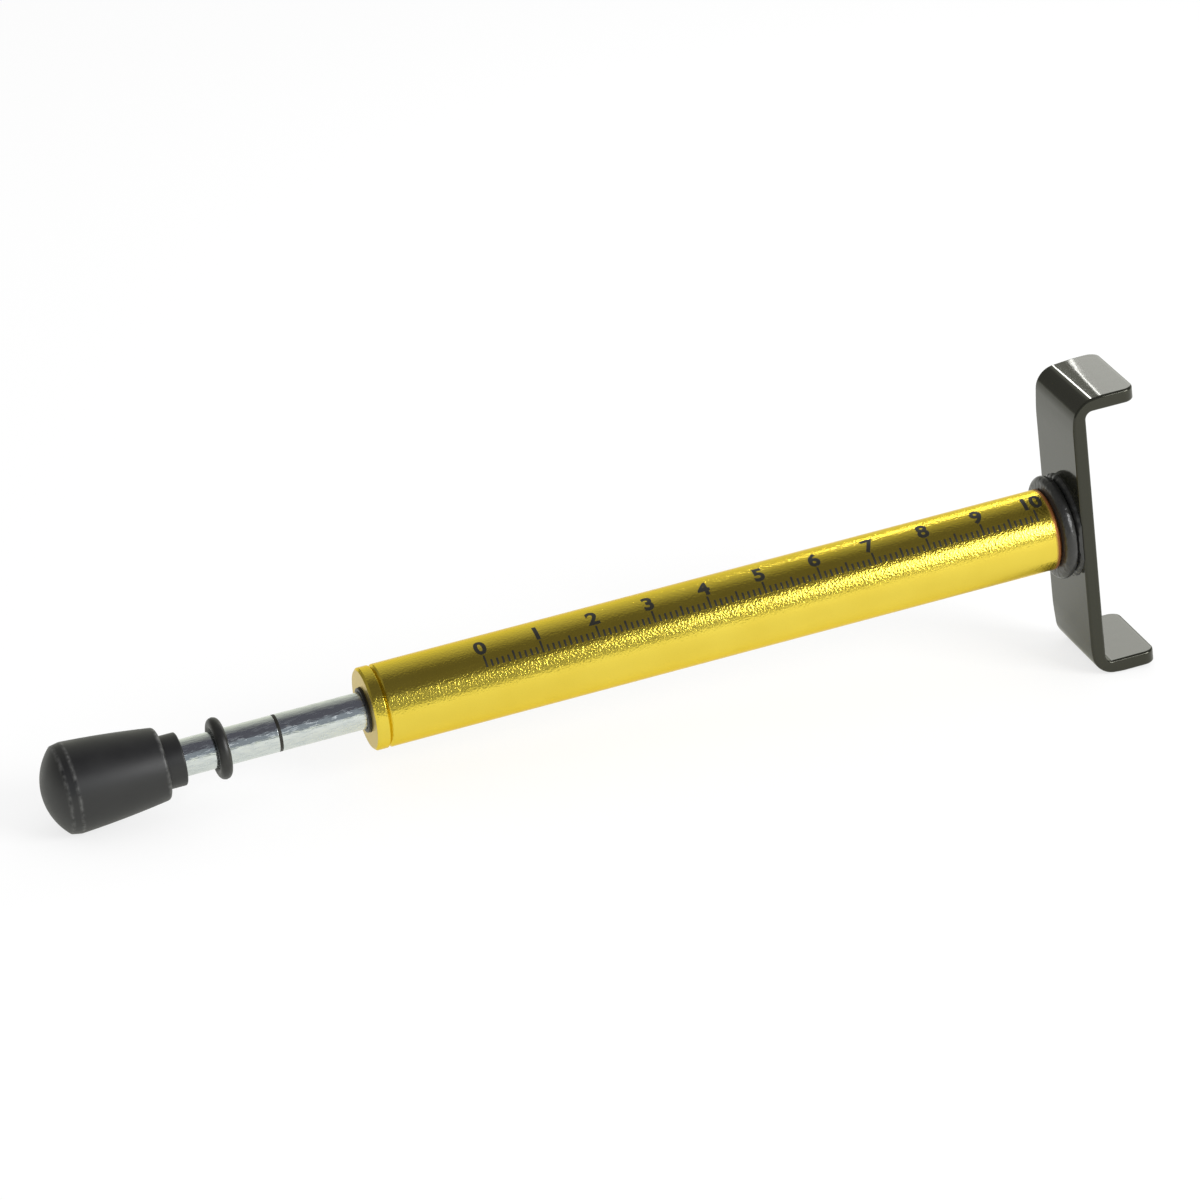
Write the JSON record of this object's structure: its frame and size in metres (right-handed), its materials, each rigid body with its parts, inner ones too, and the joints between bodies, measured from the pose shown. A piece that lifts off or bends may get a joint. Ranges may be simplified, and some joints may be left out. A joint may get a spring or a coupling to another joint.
{
  "type": "belt tension tester",
  "caption": "Spring push gauge with a bent cradle that lies on a belt, a gold tube, a sliding rod with a marker ring and full-load mark, and a push knob.",
  "frame": {"origin": "middle of the cradle's inner face, where the belt lies", "axes": "+X along the gauge from the knob to the cradle, out of the belt seat; +Z along the cradle; Y across the bar"},
  "size_m": [0.1952, 0.0182, 0.053],
  "materials": {
    "black_paint": "semi-gloss black paint over bent steel bar",
    "gold_anodised": "bright gold anodised aluminium",
    "black_acetal": "black acetal",
    "nylon": "natural nylon",
    "spring_steel": "oiled spring steel",
    "zinc_plate": "bright zinc plated steel with drawn streaks",
    "black_ink": "flat black paint",
    "knob_plastic": "satin black moulded plastic",
    "brass": "turned brass",
    "black_rubber": "matte black rubber"
  },
  "bodies": {
    "gauge_body": {"cradle": "black_paint", "rear_boss": "black_paint", "weld_bead": "black_paint", "tube": "gold_anodised", "front_cap": "gold_anodised", "guide_bush": "black_acetal", "stop_washer": "nylon", "main_spring": "spring_steel"},
    "plunger": {"plunger_rod": "zinc_plate", "load_mark": "black_ink", "retaining_clip": "spring_steel", "spring_seat": "zinc_plate", "knob": "knob_plastic", "knob_insert": "brass"},
    "marker": {"marker_ring": "black_rubber"}
  },
  "joints": [
    {"name": "plunger_slide", "type": "slide", "parent": "gauge_body", "child": "plunger", "axis": [1, 0, 0], "range_m": [0, 0.018], "stiffness_N_per_m": 2870, "springref_m": -0.0007, "deforming": ["main_spring"]},
    {"name": "marker_slide", "type": "slide", "parent": "plunger", "child": "marker", "axis": [1, 0, 0], "range_m": [-0.0053, 0.0059]}
  ]
}
